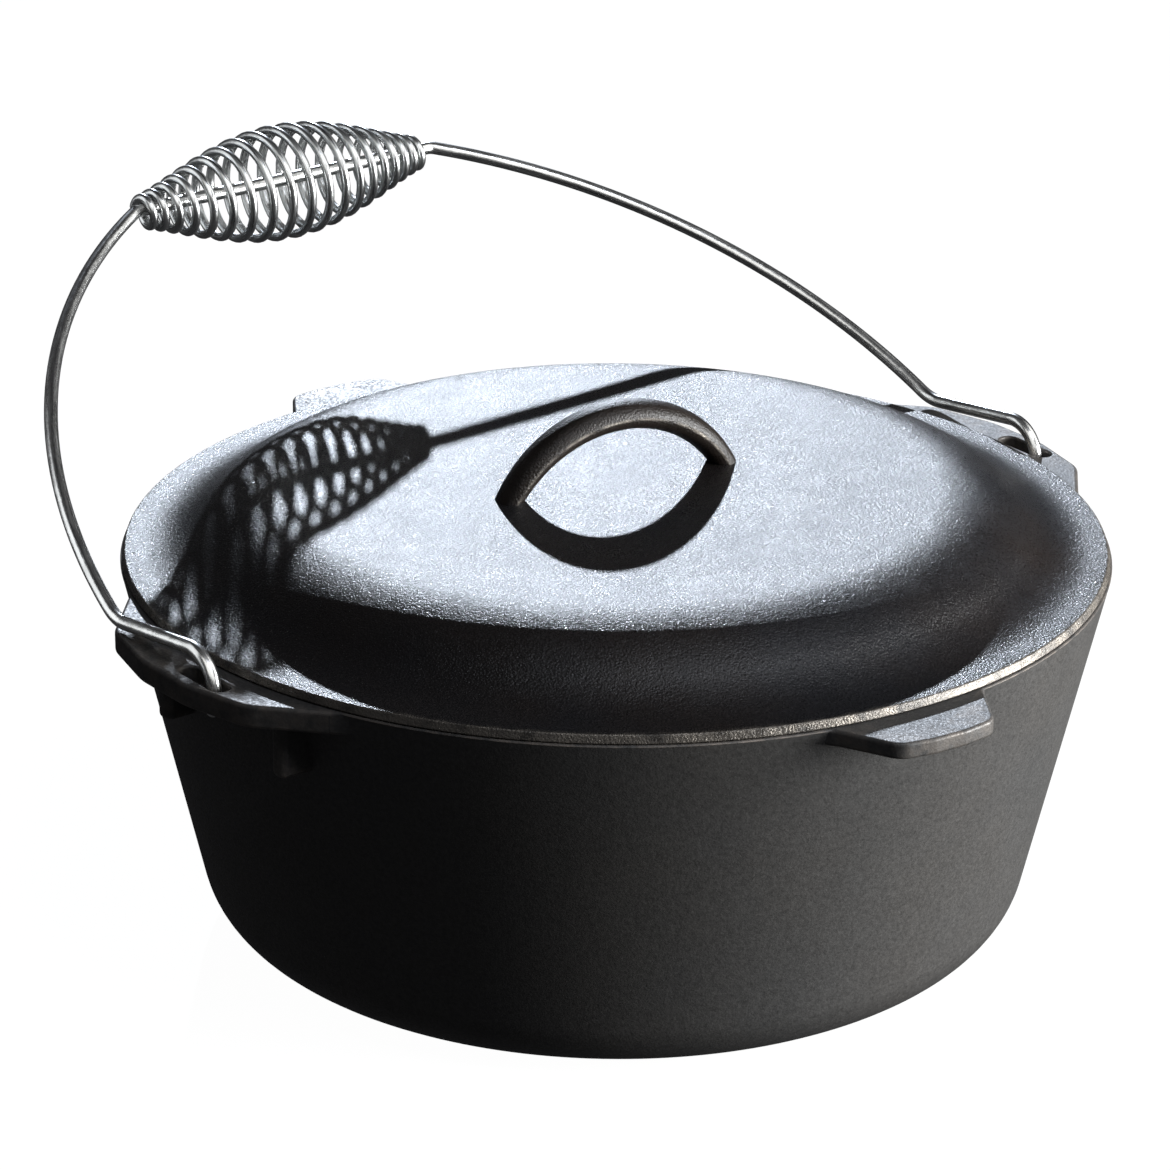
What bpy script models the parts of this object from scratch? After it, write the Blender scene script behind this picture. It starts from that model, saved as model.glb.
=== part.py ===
"""Cast iron dutch oven: a pot, a lid with a loop handle, a wire bail and its spiral wire grip.

Metres, +Z up. The origin is the centre of the pot's base. +X runs along the bail's hinge axis,
from one bail lug to the other, and the bail rests leaning towards +Y.
"""

import math

import bmesh
import bpy
from mathutils import Matrix, Vector

# Pot: a tapered, round-cornered bowl
POT_RIM_RADIUS = 0.1695
POT_BASE_RADIUS = 0.1390  # where the wall's line meets the floor, before the corner is rounded
POT_HEIGHT = 0.1330
POT_WALL = 0.0050
POT_FLOOR = 0.0055
POT_CORNER_RADIUS = 0.0260
RIM_CHAMFER = 0.0008

# Bail lugs: flat plates, flush with the rim, one at each end of the hinge axis
LUG_REACH = 0.0158  # how far past the rim
LUG_HALF_WIDTH = 0.0385  # at its outer corners
LUG_SAG = 0.0063  # from the middle of its edge back to its corners
LUG_ROOT_HALF_WIDTH = 0.0590
LUG_THICKNESS = 0.0080
LUG_CORNER_RADIUS = 0.0140
LUG_ROOT_RADIUS = 0.0200
RIB_PLACES = (-0.0410, 0.0200)  # along Y, one rib on each side of the slot
RIB_WIDTH = 0.0070
RIB_REACH = 0.0045  # how far past the rim's radius
RIB_DEPTH = 0.0190  # how far below the lug

# Assist tabs: lift points on the rim, a quarter turn from the lugs
TAB_REACH = 0.0205
TAB_HALF_WIDTH = 0.0185
TAB_SAG = 0.0020
TAB_ROOT_HALF_WIDTH = 0.0290
TAB_OFFSET = 0.0120  # clockwise from the pot's centre line, on both tabs
TAB_THICKNESS = 0.0057
TAB_CORNER_RADIUS = 0.0080
TAB_ROOT_RADIUS = 0.0140

# How the lugs and tabs run into the rim
TAIL_RATIO = 1.25  # how far round the rim a tail runs, against the half width of its root
TAIL_DEPTH = 0.0025  # how deep a tail ends in the wall
ROOT_RISE = 0.0017  # how far outside the rim a root's corner stands

# Lid: crown, shoulder, cove and flange, with a locating ring below
LID_INSET = 0.0005  # its lower edge, inside the pot's rim
LID_EDGE_DRAFT = 0.0010
LID_EDGE = 0.0029
LID_WALL = 0.0050
LID_GAP = 0.0003
LID_CROWN_REACH = 0.1100
LID_CROWN_SLOPE = math.radians(0.2)
LID_SHOULDER_SLOPE = math.radians(41)
LID_FLANGE_SLOPE = math.radians(3)
LID_COVE_SHARE = 0.39  # of the run from the crown to the flange
LID_FLANGE = 0.0060
RING_CLEARANCE = 0.0020
RING_WIDTH = 0.0045
RING_DEPTH = 0.0035

# Loop handle on the lid
LOOP_SPAN = 0.0830  # between the middles of its feet
LOOP_HEIGHT = 0.0235  # of its middle line, above the crown
LOOP_THICKNESS = 0.0104
LOOP_WIDTH = 0.0142
LOOP_FOOT_SHARE = 0.80
LOOP_TURN = math.radians(-8.7)
LOOP_SINK = 0.0030

# Bail: one steel wire
BAIL_WIRE = 0.00476
HOOK_OFFSET = 0.0076  # the hooks' plane, outside the rim
HOOK_RADIUS = 0.0124
HOOK_END = math.radians(214)
HOOK_RUN = 0.0440  # from the hook's arc to the bend, along the lug
REST_GAP = 0.0004  # from the bend to the lug it rests on
HINGE_Y = -0.0062
BAIL_LEAN = math.radians(63.9)
ARM_HEIGHT = 0.1770  # from the bend to the grip, along the leaning plane
ARM_START_SLOPE = math.radians(4)
BEND_RADIUS = 0.0180  # where the arm leaves the lug
ELBOW_RADIUS = 0.0060  # where the arm meets the grip
SLOT_WIDTH = 0.0070
SLOT_BACK = 0.0055  # past the hinge axis, towards the bend
SLOT_FRONT = 0.0040  # clear of the hook's wire, away from the bend

# Spiral grip: a spindle of wire, closed in round the bail at both ends
GRIP_LENGTH = 0.1250
GRIP_DIAMETER = 0.0425
GRIP_WIRE = 0.0032
GRIP_TURNS = 19
GRIP_END_PITCH = 0.55  # against the mean pitch
GRIP_FULLNESS = 1.2
GRIP_CLEARANCE = 0.0010
GRIP_END_SPACE = 0.0025  # from the coil to the elbow of the bail, with the coil in the middle
GRIP_SHIFT = -0.0020  # how far the loose coil has slid along the bail
GRIP_DROP = 0.0008  # how far it hangs below the bail's middle line

TURN_STEPS = 64
CORNER_STEPS = 5
SLOT_STEPS = 6
CROWN_STEPS = 3
SHOULDER_STEPS = 7
COVE_STEPS = 5
LOOP_STEPS = 16
HOOK_STEPS = 12
ARM_STEPS = 8
BEND_STEPS = 3
COIL_POINTS = 12
SHARP_ANGLE = math.radians(35)
STRAIGHT_ANGLE = math.radians(179.8)
MERGE = 0.00001
MARGIN = 0.0100  # how far cutters and joined pieces run past a surface


def clear_scene():
    for old in list(bpy.data.objects):
        bpy.data.objects.remove(old, do_unlink=True)


def new_collection(name):
    made = bpy.data.collections.new(name)
    bpy.context.scene.collection.children.link(made)
    return made


def new_material(name, colour, roughness):
    made = bpy.data.materials.new(name)
    made.use_nodes = True
    shader = made.node_tree.nodes["Principled BSDF"]
    shader.inputs["Base Color"].default_value = (*colour, 1.0)
    shader.inputs["Roughness"].default_value = roughness
    shader.inputs["Metallic"].default_value = 1.0
    made.diffuse_color = (*colour, 1.0)
    return made


def link(made, group, material=None):
    """Adds an object to its collection, as a visible part or as a hidden helper."""
    group.objects.link(made)
    if material:
        made.data.materials.append(material)
    else:
        made.hide_render = True
        made.display_type = "WIRE"
    return made


def smooth(made):
    made.data.shade_smooth()
    made.data.set_sharp_from_angle(angle=SHARP_ANGLE)


def turned(name, profile, group, material=None):
    """A solid of revolution about Z. The profile runs down its outer side, top to bottom."""
    mesh = bpy.data.meshes.new(name)
    edges = [(i, i + 1) for i in range(len(profile) - 1)]
    mesh.from_pydata([(r, 0.0, z) for r, z in profile], edges, [])
    made = link(bpy.data.objects.new(name, mesh), group, material)
    screw = made.modifiers.new("turn", "SCREW")
    screw.steps = TURN_STEPS
    screw.render_steps = TURN_STEPS
    screw.use_merge_vertices = True
    screw.merge_threshold = MERGE
    screw.use_smooth_shade = True
    return made


def curve_mesh(name, splines, group, material=None, matrix=None, **settings):
    """A mesh object made from a curve, with its caps welded to its sides."""
    curve = bpy.data.curves.new(name, "CURVE")
    for key, value in settings.items():
        setattr(curve, key, value)
    for points, radii, cyclic in splines:
        spline = curve.splines.new("POLY")
        spline.points.add(len(points) - 1)
        for target, point, radius in zip(spline.points, points, radii):
            target.co = (*point, 1.0)
            target.radius = radius
        spline.use_cyclic_u = cyclic
    guide = bpy.data.objects.new(name + "_curve", curve)
    bpy.context.scene.collection.objects.link(guide)
    guide.matrix_world = matrix or Matrix()
    bpy.context.view_layer.update()
    graph = bpy.context.evaluated_depsgraph_get()
    mesh = bpy.data.meshes.new_from_object(guide.evaluated_get(graph))
    made = link(bpy.data.objects.new(name, mesh), group, material)
    made.matrix_world = guide.matrix_world
    bpy.data.objects.remove(guide)
    welded = bmesh.new()
    welded.from_mesh(mesh)
    bmesh.ops.remove_doubles(welded, verts=welded.verts, dist=MERGE)
    bmesh.ops.recalc_face_normals(welded, faces=welded.faces)
    welded.to_mesh(mesh)
    welded.free()
    mesh.name = name
    return made


def plate(name, outline, top, thickness, group):
    """A flat plate under the height top, from a closed outline."""
    points = [(x, y, 0.0) for x, y in outline]
    half = thickness / 2
    return curve_mesh(
        name, [(points, [1.0] * len(points), True)], group,
        matrix=Matrix.Translation((0, 0, top - half)),
        dimensions="2D", fill_mode="BOTH", extrude=half,
    )


def wire(name, points, diameter, group, material, origin):
    """A round wire through the points, with its object's origin at the point given."""
    local = [Vector(point) - origin for point in points]
    made = curve_mesh(
        name, [(local, [1.0] * len(local), False)], group, material,
        matrix=Matrix.Translation(origin),
        dimensions="3D", bevel_depth=diameter / 2, bevel_resolution=2, use_fill_caps=True,
    )
    smooth(made)
    return made


def boolean(target, operation, others):
    change = target.modifiers.new(operation.lower(), "BOOLEAN")
    change.operation = operation
    change.solver = "EXACT"
    change.operand_type = "COLLECTION"
    change.collection = others


def arc(centre, radius, start, end, steps):
    """Points along an arc, both ends included."""
    angles = [start + (end - start) * i / steps for i in range(steps + 1)]
    return [(centre[0] + radius * math.cos(a), centre[1] + radius * math.sin(a)) for a in angles]


def rounded_path(corners, radii, steps):
    """An open path through its corners, each rounded to its radius. Works in 2D and in 3D."""
    path = [Vector(corners[0])]
    for i in range(1, len(corners) - 1):
        corner = Vector(corners[i])
        back = (Vector(corners[i - 1]) - corner).normalized()
        on = (Vector(corners[i + 1]) - corner).normalized()
        half = back.angle(on) / 2
        if radii[i] <= 0 or 2 * half > STRAIGHT_ANGLE:
            path.append(corner)
            continue
        centre = corner + (back + on).normalized() * (radii[i] / math.sin(half))
        tangent = radii[i] / math.tan(half)
        first = corner + back * tangent - centre
        last = corner + on * tangent - centre
        sweep = first.angle(last)
        for step in range(steps + 1):
            share = step / steps
            a = math.sin((1 - share) * sweep) / math.sin(sweep)
            b = math.sin(share * sweep) / math.sin(sweep)
            path.append(centre + first * a + last * b)
    path.append(Vector(corners[-1]))
    return path


def bowl_side(base_radius, floor, top, taper, corner):
    """Floor, rounded corner and tapered wall of the bowl, from the axis up to the height top."""
    centre_z = floor + corner
    centre_r = base_radius + corner * math.tan(taper) - corner / math.cos(taper)
    bend = arc((centre_r, centre_z), corner, -math.pi / 2, -taper, CORNER_STEPS)
    return [(0.0, floor), *bend, (base_radius + (top - floor) * math.tan(taper), top)]


def pot_taper():
    return math.atan((POT_RIM_RADIUS - POT_BASE_RADIUS) / POT_HEIGHT)


def pot_inner_radius(height):
    taper = pot_taper()
    return POT_BASE_RADIUS + height * math.tan(taper) - POT_WALL / math.cos(taper)


def ear_outline(reach, half_width, sag, root_half_width, corner_radius, root_radius):
    """A plate on the rim at +X: from inside the wall, out round its edge and back."""
    edge = POT_RIM_RADIUS + reach
    root_x = math.sqrt(POT_RIM_RADIUS**2 - root_half_width**2) + ROOT_RISE
    tail = TAIL_RATIO * root_half_width / POT_RIM_RADIUS
    tail_x = POT_RIM_RADIUS * math.cos(tail) - TAIL_DEPTH
    tail_y = POT_RIM_RADIUS * math.sin(tail) - TAIL_DEPTH
    below = [
        (tail_x - 2 * MARGIN, MARGIN - tail_y),
        (tail_x, -tail_y),
        (root_x, -root_half_width),
        (edge - sag, -half_width),
        (edge, -half_width / 3),
    ]
    radii = [0, 0, root_radius, corner_radius, 2 * corner_radius]
    corners = below + [(x, -y) for x, y in reversed(below)]
    path = rounded_path(corners, radii + radii[::-1], CORNER_STEPS)
    return [(point.x, point.y) for point in path]


def turned_outline(outline, angle):
    spin = Matrix.Rotation(angle, 2)
    return [tuple(spin @ Vector(point)) for point in outline]


def add_lug(side, joined, cutters):
    """A bail lug at side * X, with the slot its hook passes through and two ribs under it."""
    name = "lug_right" if side > 0 else "lug_left"
    outline = ear_outline(
        LUG_REACH, LUG_HALF_WIDTH, LUG_SAG,
        LUG_ROOT_HALF_WIDTH, LUG_CORNER_RADIUS, LUG_ROOT_RADIUS,
    )
    outline = [(side * x, y) for x, y in outline]
    plate(name, outline, POT_HEIGHT, LUG_THICKNESS, joined)
    for place in RIB_PLACES:
        add_rib(f"{name}_rib", side, place, joined)
    hook_x = side * (POT_RIM_RADIUS + HOOK_OFFSET)
    half = SLOT_WIDTH / 2
    front = HINGE_Y - HOOK_RADIUS - BAIL_WIRE / 2 - SLOT_FRONT + half
    back = HINGE_Y + SLOT_BACK - half
    slot = arc((hook_x, back), half, 0, math.pi, SLOT_STEPS)
    slot += arc((hook_x, front), half, math.pi, 2 * math.pi, SLOT_STEPS)
    depth = LUG_THICKNESS + 2 * MARGIN
    plate(f"{name}_slot", slot, POT_HEIGHT + MARGIN, depth, cutters)


def add_rib(name, side, place, joined):
    """A post under the lug, standing out from the wall."""
    top = POT_HEIGHT - LUG_THICKNESS / 2
    low = POT_HEIGHT - LUG_THICKNESS - RIB_DEPTH
    outer = math.sqrt((POT_RIM_RADIUS + RIB_REACH) ** 2 - place**2)
    wall = pot_inner_radius(low) + POT_WALL / 2
    inner = math.sqrt(wall**2 - place**2)
    made = bmesh.new()
    bmesh.ops.create_cube(made, size=1.0)
    size = (outer - inner, RIB_WIDTH, top - low)
    middle = (side * (outer + inner) / 2, place, (top + low) / 2)
    bmesh.ops.scale(made, vec=size, verts=made.verts)
    bmesh.ops.translate(made, vec=middle, verts=made.verts)
    mesh = bpy.data.meshes.new(name)
    made.to_mesh(mesh)
    made.free()
    link(bpy.data.objects.new(name, mesh), joined)


def add_tab(side, joined):
    """An assist tab at side * Y."""
    outline = ear_outline(
        TAB_REACH, TAB_HALF_WIDTH, TAB_SAG,
        TAB_ROOT_HALF_WIDTH, TAB_CORNER_RADIUS, TAB_ROOT_RADIUS,
    )
    spin = side * math.pi / 2 - TAB_OFFSET / POT_RIM_RADIUS
    name = "tab_back" if side > 0 else "tab_front"
    plate(name, turned_outline(outline, spin), POT_HEIGHT, TAB_THICKNESS, joined)


def make_pot(parts, material):
    joined = new_collection("pot_joined")
    cutters = new_collection("pot_cutters")
    taper = pot_taper()
    outside = bowl_side(POT_BASE_RADIUS, 0.0, POT_HEIGHT - RIM_CHAMFER, taper, POT_CORNER_RADIUS)
    top = [(0.0, POT_HEIGHT), (POT_RIM_RADIUS - RIM_CHAMFER, POT_HEIGHT)]
    pot = turned("pot", top + outside[::-1], parts, material)
    for side in (-1, 1):
        add_lug(side, joined, cutters)
        add_tab(side, joined)
    inside = bowl_side(
        pot_inner_radius(POT_FLOOR), POT_FLOOR, POT_HEIGHT + MARGIN, taper,
        POT_CORNER_RADIUS - POT_WALL,
    )
    turned("pot_cavity", [(0.0, POT_HEIGHT + MARGIN)] + inside[::-1], cutters)
    boolean(pot, "UNION", joined)
    boolean(pot, "DIFFERENCE", cutters)
    return pot


def lid_face(start, crown_radius, shoulder_radius, cove_radius):
    """Crown, shoulder and cove as arcs that run into each other, from the axis outwards."""
    r, z = 0.0, start
    heading = 0.0
    path = [(r, z)]
    stretches = (
        (crown_radius, LID_CROWN_SLOPE, CROWN_STEPS),
        (shoulder_radius, LID_SHOULDER_SLOPE, SHOULDER_STEPS),
        (cove_radius, LID_FLANGE_SLOPE, COVE_STEPS),
    )
    for radius, slope, steps in stretches:
        turn = 1 if slope > heading else -1
        centre = (r - turn * radius * math.sin(heading), z - turn * radius * math.cos(heading))
        begin = turn * math.pi / 2 - heading
        end = turn * math.pi / 2 - slope
        path += arc(centre, radius, begin, end, steps)[1:]
        r, z = path[-1]
        heading = slope
    return path


def lid_sizes():
    """The lid's outer radius, and the radii of its crown, shoulder and cove arcs."""
    outer = POT_RIM_RADIUS - LID_INSET - LID_EDGE_DRAFT
    crown = LID_CROWN_REACH / math.sin(LID_CROWN_SLOPE)
    run = outer - LID_FLANGE - LID_CROWN_REACH
    cove_run = run * LID_COVE_SHARE
    shoulder = (run - cove_run) / (math.sin(LID_SHOULDER_SLOPE) - math.sin(LID_CROWN_SLOPE))
    cove = cove_run / (math.sin(LID_SHOULDER_SLOPE) - math.sin(LID_FLANGE_SLOPE))
    return outer, crown, shoulder, cove


def lid_top():
    """The height of the crown's middle above the pot's base."""
    outer, crown, shoulder, cove = lid_sizes()
    face = lid_face(0.0, crown, shoulder, cove)
    flange = LID_FLANGE * math.tan(LID_FLANGE_SLOPE)
    return POT_HEIGHT + LID_GAP + LID_EDGE - face[-1][1] + flange


def make_lid(parts, material):
    outer, crown, shoulder, cove = lid_sizes()
    seat = POT_HEIGHT + LID_GAP
    upper = lid_face(lid_top(), crown, shoulder, cove)
    under = lid_face(lid_top() - LID_WALL, crown - LID_WALL, shoulder - LID_WALL, cove + LID_WALL)
    ring_outer = pot_inner_radius(POT_HEIGHT - RING_DEPTH) - RING_CLEARANCE
    ring_inner = ring_outer - RING_WIDTH
    edge = [
        (outer - RIM_CHAMFER / 2, seat + LID_EDGE),
        (outer, seat + LID_EDGE - RIM_CHAMFER / 2),
        (outer + LID_EDGE_DRAFT, seat),
    ]
    ring = [
        (ring_outer, seat),
        (ring_outer - RIM_CHAMFER, seat - RING_DEPTH),
        (ring_inner, seat - RING_DEPTH),
    ]
    inside = [point for point in under if point[0] < ring_inner - RIM_CHAMFER]
    lid = turned("lid", upper + edge + ring + inside[::-1], parts, material)
    joined = new_collection("lid_joined")
    make_loop(joined)
    boolean(lid, "UNION", joined)
    return lid


def make_loop(joined):
    """The loop handle: an arch whose section is wider than it is thick, and thins at its feet."""
    radius = (LOOP_SPAN**2 / 4 + LOOP_HEIGHT**2) / (2 * LOOP_HEIGHT)
    middle = LOOP_HEIGHT - radius
    foot = math.asin((-LOOP_SINK - middle) / radius)
    points = arc((0.0, middle), radius, foot, math.pi - foot, LOOP_STEPS)
    shares = [abs(2 * i / LOOP_STEPS - 1) for i in range(LOOP_STEPS + 1)]
    radii = [1 - (1 - LOOP_FOOT_SHARE) * share**2 for share in shares]
    broad = Matrix.Diagonal((1, LOOP_WIDTH / LOOP_THICKNESS, 1, 1))
    place = Matrix.Translation((0, 0, lid_top()))
    made = curve_mesh(
        "lid_loop", [([(x, 0, z) for x, z in points], radii, False)], joined,
        matrix=place @ Matrix.Rotation(LOOP_TURN, 4, "Z") @ broad,
        dimensions="3D", bevel_depth=LOOP_THICKNESS / 2, bevel_resolution=4, use_fill_caps=True,
    )
    made.data.transform(made.matrix_world)
    made.matrix_world = Matrix()


def hinge_point():
    return Vector((0.0, HINGE_Y, POT_HEIGHT - LUG_THICKNESS / 2))


def hook_start():
    """Where round the hinge the hook's arc starts, so that the bend comes to rest on the lug."""
    rise = LUG_THICKNESS / 2 + BAIL_WIRE / 2 + REST_GAP
    return math.atan2(HOOK_RUN, HOOK_RADIUS) + math.asin(rise / math.hypot(HOOK_RUN, HOOK_RADIUS))


def bend_point():
    """Where the hook's run along the lug meets the arm, in the plane of the hooks."""
    start = hook_start()
    out = HOOK_RADIUS * Vector((0, math.cos(start), math.sin(start)))
    run = HOOK_RUN * Vector((0, math.sin(start), -math.cos(start)))
    return hinge_point() + out + run


def arm_direction():
    return Vector((0, math.sin(BAIL_LEAN), math.cos(BAIL_LEAN)))


def grip_corner():
    """Half the straight stretch of the bail that carries the grip."""
    return GRIP_LENGTH / 2 + GRIP_END_SPACE


def grip_centre():
    """The coil's own centre, a little off the middle of the bail's straight stretch."""
    middle = bend_point() + ARM_HEIGHT * arm_direction()
    return Vector((GRIP_SHIFT, middle.y, middle.z - GRIP_DROP))


def bail_half():
    """The bail's middle line on the +X side, from its hook's end to the corner by the grip."""
    hook_x = POT_RIM_RADIUS + HOOK_OFFSET
    hinge = hinge_point()
    hook = arc((hinge.y, hinge.z), HOOK_RADIUS, HOOK_END, hook_start(), HOOK_STEPS)
    corners = [Vector((hook_x, y, z)) for y, z in hook]
    radii = [0] * len(corners)
    width = hook_x - grip_corner()
    chord = math.atan2(width, ARM_HEIGHT)
    last_slope = 2 * chord - ARM_START_SLOPE
    radius = ARM_HEIGHT / (math.sin(last_slope) - math.sin(ARM_START_SLOPE))
    along = arm_direction()
    for i in range(ARM_STEPS + 1):
        slope = ARM_START_SLOPE + (last_slope - ARM_START_SLOPE) * i / ARM_STEPS
        rise = radius * (math.sin(slope) - math.sin(ARM_START_SLOPE))
        inward = radius * (math.cos(ARM_START_SLOPE) - math.cos(slope))
        base = bend_point() + rise * along
        corners.append(Vector((hook_x - inward, base.y, base.z)))
        radii.append({0: BEND_RADIUS, ARM_STEPS: ELBOW_RADIUS}.get(i, 0))
    return corners, radii


def make_bail(parts, material):
    corners, radii = bail_half()
    mirrored = [Vector((-p.x, p.y, p.z)) for p in corners]
    path = rounded_path(corners + mirrored[::-1], radii + radii[::-1], BEND_STEPS)
    return wire("bail", path, BAIL_WIRE, parts, material, hinge_point())


def make_grip(parts, material):
    """The coil: pitch and radius both shrink towards the ends."""
    centre = grip_centre()
    end_radius = (BAIL_WIRE + GRIP_WIRE) / 2 + GRIP_CLEARANCE
    swell = (GRIP_DIAMETER - GRIP_WIRE) / 2 - end_radius
    half = (GRIP_LENGTH - GRIP_WIRE) / 2
    count = GRIP_TURNS * COIL_POINTS
    points = []
    for i in range(count + 1):
        share = 2 * i / count - 1
        eased = (1 - GRIP_END_PITCH) * math.sin(share * math.pi / 2) + GRIP_END_PITCH * share
        round_share = max(math.cos(eased * math.pi / 2), 0.0) ** GRIP_FULLNESS
        radius = end_radius + swell * round_share
        turn = 2 * math.pi * i / COIL_POINTS
        offset = Vector((half * eased, radius * math.cos(turn), radius * math.sin(turn)))
        points.append(centre + offset)
    return wire("spiral_grip", points, GRIP_WIRE, parts, material, centre)


def main():
    clear_scene()
    parts = new_collection("dutch_oven")
    iron = new_material("seasoned_iron", (0.045, 0.042, 0.040), 0.55)
    lid_iron = new_material("seasoned_iron_lid", (0.050, 0.047, 0.046), 0.50)
    steel = new_material("bail_steel", (0.62, 0.63, 0.62), 0.30)
    coil_steel = new_material("coil_steel", (0.55, 0.56, 0.57), 0.33)
    make_pot(parts, iron)
    make_lid(parts, lid_iron)
    make_bail(parts, steel)
    make_grip(parts, coil_steel)


main()
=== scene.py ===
"""The looks of a cast iron dutch oven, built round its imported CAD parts.

Metres, +Z up, in the CAD's own frame: +X runs from lug to lug along the bail's hinge axis, and the
bail rests leaning towards +Y. Each piece repeats its CAD part's sizes with finer steps and rounded
edges, and stands for it.
"""

import math

import bmesh
import bpy
import numpy as np
from mathutils import Matrix, Vector

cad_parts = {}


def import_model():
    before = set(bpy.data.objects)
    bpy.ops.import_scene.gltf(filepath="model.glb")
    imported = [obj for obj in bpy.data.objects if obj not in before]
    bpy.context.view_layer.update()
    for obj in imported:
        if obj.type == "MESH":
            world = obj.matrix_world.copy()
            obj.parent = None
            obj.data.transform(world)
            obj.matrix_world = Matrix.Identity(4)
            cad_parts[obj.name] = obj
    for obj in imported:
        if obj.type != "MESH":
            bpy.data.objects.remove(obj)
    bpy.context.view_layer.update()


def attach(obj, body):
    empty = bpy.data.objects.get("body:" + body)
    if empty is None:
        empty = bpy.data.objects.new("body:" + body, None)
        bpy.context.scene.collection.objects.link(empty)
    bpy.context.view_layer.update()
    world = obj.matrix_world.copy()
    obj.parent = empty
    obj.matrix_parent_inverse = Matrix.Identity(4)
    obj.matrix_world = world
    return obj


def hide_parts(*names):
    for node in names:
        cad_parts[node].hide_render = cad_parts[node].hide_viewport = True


# Pot
POT_RIM_RADIUS = 0.1695
POT_BASE_RADIUS = 0.1390
POT_HEIGHT = 0.1330
POT_WALL = 0.0050
POT_FLOOR = 0.0055
POT_CORNER_RADIUS = 0.0260
LIP_RADIUS = 0.0008

# Bail lugs and their ribs
LUG_REACH = 0.0158
LUG_HALF_WIDTH = 0.0385
LUG_SAG = 0.0063
LUG_ROOT_HALF_WIDTH = 0.0590
LUG_THICKNESS = 0.0080
LUG_CORNER_RADIUS = 0.0140
LUG_ROOT_RADIUS = 0.0200
LUG_EDGE = 0.0014
RIB_PLACES = (-0.0410, 0.0200)
RIB_WIDTH = 0.0070
RIB_REACH = 0.0045
RIB_DEPTH = 0.0190
RIB_EDGE = 0.0018
RIB_CORNER_SHARE = 0.8  # of half the rib's width
SLOT_WIDTH = 0.0070
SLOT_BACK = 0.0055
SLOT_FRONT = 0.0040
SLOT_EDGE = 0.0009

# Assist tabs
TAB_REACH = 0.0205
TAB_HALF_WIDTH = 0.0185
TAB_SAG = 0.0020
TAB_ROOT_HALF_WIDTH = 0.0290
TAB_OFFSET = 0.0120
TAB_THICKNESS = 0.0057
TAB_CORNER_RADIUS = 0.0080
TAB_ROOT_RADIUS = 0.0140
TAB_EDGE = 0.0012
TAIL_RATIO = 1.25
TAIL_DEPTH = 0.0025
ROOT_RISE = 0.0017

# Lid
LID_INSET = 0.0005
LID_EDGE_DRAFT = 0.0010
LID_EDGE = 0.0029
LID_WALL = 0.0050
LID_GAP = 0.0003
LID_CROWN_REACH = 0.1100
LID_CROWN_SLOPE = math.radians(0.2)
LID_SHOULDER_SLOPE = math.radians(41)
LID_FLANGE_SLOPE = math.radians(3)
LID_COVE_SHARE = 0.39
LID_FLANGE = 0.0060
LID_EDGE_RADIUS = 0.0007
RING_CLEARANCE = 0.0020
RING_WIDTH = 0.0045
RING_DEPTH = 0.0035
GROUND_RADIUS = 0.1676  # the lid is ground bright outside it

# Loop handle
LOOP_SPAN = 0.0830
LOOP_HEIGHT = 0.0235
LOOP_THICKNESS = 0.0104
LOOP_WIDTH = 0.0142
LOOP_FOOT_SHARE = 0.80
LOOP_TURN = math.radians(-8.7)
LOOP_SINK = 0.0030
LOOP_RIDGE = 0.035
LOOP_RIDGE_WIDTH = 0.25

# Bail
BAIL_WIRE = 0.00476
HOOK_OFFSET = 0.0076
HOOK_RADIUS = 0.0124
HOOK_END = math.radians(214)
HOOK_RUN = 0.0440
REST_GAP = 0.0004
HINGE_Y = -0.0062
BAIL_LEAN = math.radians(63.9)
ARM_HEIGHT = 0.1770
ARM_START_SLOPE = math.radians(4)
BEND_RADIUS = 0.0180
ELBOW_RADIUS = 0.0060

# Spiral grip
GRIP_LENGTH = 0.1250
GRIP_DIAMETER = 0.0425
GRIP_WIRE = 0.0032
GRIP_TURNS = 19
GRIP_END_PITCH = 0.55
GRIP_FULLNESS = 1.2
GRIP_CLEARANCE = 0.0010
GRIP_END_SPACE = 0.0025
GRIP_SHIFT = -0.0020
GRIP_DROP = 0.0008

# Mesh steps
TURN_STEPS = 192
CORNER_STEPS = 8
EDGE_STEPS = 4
WALL_STEPS = 10
SLOT_STEPS = 12
CROWN_STEPS = 12
SHOULDER_STEPS = 18
COVE_STEPS = 10
LOOP_STEPS = 56
LOOP_SIDES = 36
HOOK_STEPS = 26
ARM_STEPS = 40
BEND_STEPS = 8
BAIL_SIDES = 18
COIL_POINTS = 40
COIL_SIDES = 14
SHARP_ANGLE = math.radians(40)
WIRE_SHARP_ANGLE = math.radians(60)
STRAIGHT_ANGLE = math.radians(179.8)
MERGE = 0.000005
MARGIN = 0.0100
MITRE_LIMIT = 0.3
END_LENGTH = 0.6  # of a wire's rounded end, against the wire's radius
END_SHARE = 0.45  # of the wire's radius, left at its tip

# Camera: a long lens, turned from looking along +Y, aimed a little off the middle of the rim
CAMERA_AIM = Vector((0.0, 0.0, 0.1362))
CAMERA_DISTANCE = 1.7136
CAMERA_TURN = math.radians(-38)
CAMERA_ELEVATION = math.radians(21.68)
CAMERA_TILT = math.radians(-0.566)
CAMERA_PAN = math.radians(0.352)
CAMERA_ROLL = math.radians(0.525)
CAMERA_LENS = 153.85

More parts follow.
